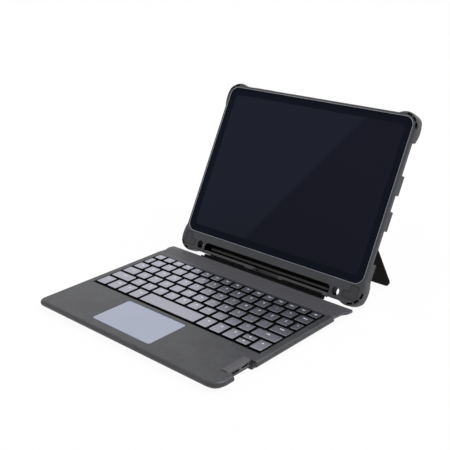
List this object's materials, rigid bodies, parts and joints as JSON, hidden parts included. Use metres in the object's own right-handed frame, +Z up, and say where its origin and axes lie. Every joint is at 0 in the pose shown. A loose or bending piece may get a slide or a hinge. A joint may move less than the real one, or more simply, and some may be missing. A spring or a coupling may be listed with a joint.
{
  "type": "tablet keyboard case",
  "caption": "Tablet in a rubber bumper case with a kickstand, joined by a folding flap to a keyboard with a trackpad, a port block and a stylus slot.",
  "frame": {"origin": "on the flat underside of the keyboard's tray, in the middle of its width and midway between the keyboard's front and rear edges", "axes": "+X to the user's right, +Y away from the user towards the tablet, +Z up from the table"},
  "size_m": [0.2608, 0.3118, 0.1871],
  "materials": {
    "soft_cover": "soft smooth grey cover",
    "dark_plastic": "fine matt",
    "bumper_rubber": "soft matt",
    "foot_rubber": "matt",
    "key_plate": "matt black",
    "key_cap": "satin, pale legends",
    "thin_film": "clear film",
    "sheet_metal": "plain",
    "circuit_board": "lacquered board",
    "cell_wrap": "foil pouch",
    "light_pipe": "clear",
    "trackpad_face": "satin",
    "tablet_shell": "bead blasted",
    "display_glass": "polished, dark display",
    "lens_glass": "polished"
  },
  "bodies": {
    "keyboard": {"base_shell": "dark_plastic", "top_cover": "soft_cover", "key_deck": "key_plate", "dome_sheet": "foot_rubber", "switch_membrane": "thin_film", "backing_plate": "sheet_metal", "battery": "cell_wrap", "control_board": "circuit_board", "trackpad_board": "circuit_board", "indicator_lights": "light_pipe", "port_block": "dark_plastic", "usb_socket": "sheet_metal", "switch_base": "dark_plastic", "charge_light": "light_pipe"},
    "flap": {"hinge_flap": "soft_cover"},
    "case": {"bumper": "bumper_rubber", "back_panel": "dark_plastic", "corner_pads": "foot_rubber", "tablet_body": "tablet_shell", "tablet_glass": "display_glass", "tablet_camera": "lens_glass", "dock_strip": "dark_plastic", "dock_magnets": "sheet_metal", "lower_rails": "dark_plastic", "rail_keepers": "sheet_metal", "hinge_pins": "sheet_metal"},
    "stand": {"kickstand": "dark_plastic", "kickstand_foot": "foot_rubber"},
    "trackpad_plate": {"trackpad": "trackpad_face"},
    "switch_knob": {"power_switch": "dark_plastic"},
    "power_cap": {"power_button": "bumper_rubber"},
    "volume_up_cap": {"volume_up_button": "bumper_rubber"},
    "volume_down_cap": {"volume_down_button": "bumper_rubber"},
    "function_row": {"function_keys": "key_cap"},
    "grave_cap": {"grave_key": "key_cap"},
    "number_row": {"number_keys": "key_cap"},
    "backspace_cap": {"backspace_key": "key_cap"},
    "tab_cap": {"tab_key": "key_cap"},
    "upper_letter_row": {"upper_letter_keys": "key_cap"},
    "backslash_cap": {"backslash_key": "key_cap"},
    "caps_cap": {"caps_key": "key_cap"},
    "home_letter_row": {"home_letter_keys": "key_cap"},
    "enter_cap": {"enter_key": "key_cap"},
    "left_shift_cap": {"left_shift_key": "key_cap"},
    "lower_letter_row": {"lower_letter_keys": "key_cap"},
    "right_shift_cap": {"right_shift_key": "key_cap"},
    "left_modifier_row": {"left_modifier_keys": "key_cap"},
    "space_cap": {"space_bar": "key_cap"},
    "right_modifier_row": {"right_modifier_keys": "key_cap"},
    "left_arrow_cap": {"left_arrow_key": "key_cap"},
    "up_arrow_cap": {"up_arrow_key": "key_cap"},
    "down_arrow_cap": {"down_arrow_key": "key_cap"},
    "right_arrow_cap": {"right_arrow_key": "key_cap"}
  },
  "joints": [
    {"name": "flap_fold", "type": "hinge", "parent": "keyboard", "child": "flap", "pos_m": [0, 0.0839, 0.0089], "axis": [-1, 0, 0], "range_deg": [-35, 20]},
    {"name": "case_tilt", "type": "hinge", "parent": "flap", "child": "case", "pos_m": [0, 0.11439, 0.00634], "axis": [1, 0, 0], "range_deg": [-30, 118]},
    {"name": "kickstand_fold", "type": "hinge", "parent": "case", "child": "stand", "pos_m": [0, 0.17101, 0.07533], "axis": [1, 0, 0], "range_deg": [-46.4, 60]},
    {"name": "trackpad_press", "type": "slide", "parent": "keyboard", "child": "trackpad_plate", "axis": [0, 0, -1], "range_m": [0, 0.00035], "stiffness_N_per_m": 4000},
    {"name": "power_slide", "type": "slide", "parent": "keyboard", "child": "switch_knob", "axis": [0, 1, 0], "range_m": [0, 0.003]},
    {"name": "power_press", "type": "slide", "parent": "case", "child": "power_cap", "axis": [1, 0, 0], "range_m": [0, 0.0005], "stiffness_N_per_m": 1500},
    {"name": "volume_up_press", "type": "slide", "parent": "case", "child": "volume_up_cap", "axis": [0, -0.4695, -0.8829], "range_m": [0, 0.0005], "stiffness_N_per_m": 1500},
    {"name": "volume_down_press", "type": "slide", "parent": "case", "child": "volume_down_cap", "axis": [0, -0.4695, -0.8829], "range_m": [0, 0.0005], "stiffness_N_per_m": 1500},
    {"name": "function_press", "type": "slide", "parent": "keyboard", "child": "function_row", "axis": [0, 0, -1], "range_m": [0, 0.0014], "stiffness_N_per_m": 450},
    {"name": "grave_press", "type": "slide", "parent": "keyboard", "child": "grave_cap", "axis": [0, 0, -1], "range_m": [0, 0.0014], "stiffness_N_per_m": 450},
    {"name": "number_press", "type": "slide", "parent": "keyboard", "child": "number_row", "axis": [0, 0, -1], "range_m": [0, 0.0014], "stiffness_N_per_m": 450},
    {"name": "backspace_press", "type": "slide", "parent": "keyboard", "child": "backspace_cap", "axis": [0, 0, -1], "range_m": [0, 0.0014], "stiffness_N_per_m": 450},
    {"name": "tab_press", "type": "slide", "parent": "keyboard", "child": "tab_cap", "axis": [0, 0, -1], "range_m": [0, 0.0014], "stiffness_N_per_m": 450},
    {"name": "upper_letter_press", "type": "slide", "parent": "keyboard", "child": "upper_letter_row", "axis": [0, 0, -1], "range_m": [0, 0.0014], "stiffness_N_per_m": 450},
    {"name": "backslash_press", "type": "slide", "parent": "keyboard", "child": "backslash_cap", "axis": [0, 0, -1], "range_m": [0, 0.0014], "stiffness_N_per_m": 450},
    {"name": "caps_press", "type": "slide", "parent": "keyboard", "child": "caps_cap", "axis": [0, 0, -1], "range_m": [0, 0.0014], "stiffness_N_per_m": 450},
    {"name": "home_letter_press", "type": "slide", "parent": "keyboard", "child": "home_letter_row", "axis": [0, 0, -1], "range_m": [0, 0.0014], "stiffness_N_per_m": 450},
    {"name": "enter_press", "type": "slide", "parent": "keyboard", "child": "enter_cap", "axis": [0, 0, -1], "range_m": [0, 0.0014], "stiffness_N_per_m": 450},
    {"name": "left_shift_press", "type": "slide", "parent": "keyboard", "child": "left_shift_cap", "axis": [0, 0, -1], "range_m": [0, 0.0014], "stiffness_N_per_m": 450},
    {"name": "lower_letter_press", "type": "slide", "parent": "keyboard", "child": "lower_letter_row", "axis": [0, 0, -1], "range_m": [0, 0.0014], "stiffness_N_per_m": 450},
    {"name": "right_shift_press", "type": "slide", "parent": "keyboard", "child": "right_shift_cap", "axis": [0, 0, -1], "range_m": [0, 0.0014], "stiffness_N_per_m": 450},
    {"name": "left_modifier_press", "type": "slide", "parent": "keyboard", "child": "left_modifier_row", "axis": [0, 0, -1], "range_m": [0, 0.0014], "stiffness_N_per_m": 450},
    {"name": "space_bar_press", "type": "slide", "parent": "keyboard", "child": "space_cap", "axis": [0, 0, -1], "range_m": [0, 0.0014], "stiffness_N_per_m": 450},
    {"name": "right_modifier_press", "type": "slide", "parent": "keyboard", "child": "right_modifier_row", "axis": [0, 0, -1], "range_m": [0, 0.0014], "stiffness_N_per_m": 450},
    {"name": "left_arrow_press", "type": "slide", "parent": "keyboard", "child": "left_arrow_cap", "axis": [0, 0, -1], "range_m": [0, 0.0014], "stiffness_N_per_m": 450},
    {"name": "up_arrow_press", "type": "slide", "parent": "keyboard", "child": "up_arrow_cap", "axis": [0, 0, -1], "range_m": [0, 0.0014], "stiffness_N_per_m": 450},
    {"name": "down_arrow_press", "type": "slide", "parent": "keyboard", "child": "down_arrow_cap", "axis": [0, 0, -1], "range_m": [0, 0.0014], "stiffness_N_per_m": 450},
    {"name": "right_arrow_press", "type": "slide", "parent": "keyboard", "child": "right_arrow_cap", "axis": [0, 0, -1], "range_m": [0, 0.0014], "stiffness_N_per_m": 450}
  ]
}
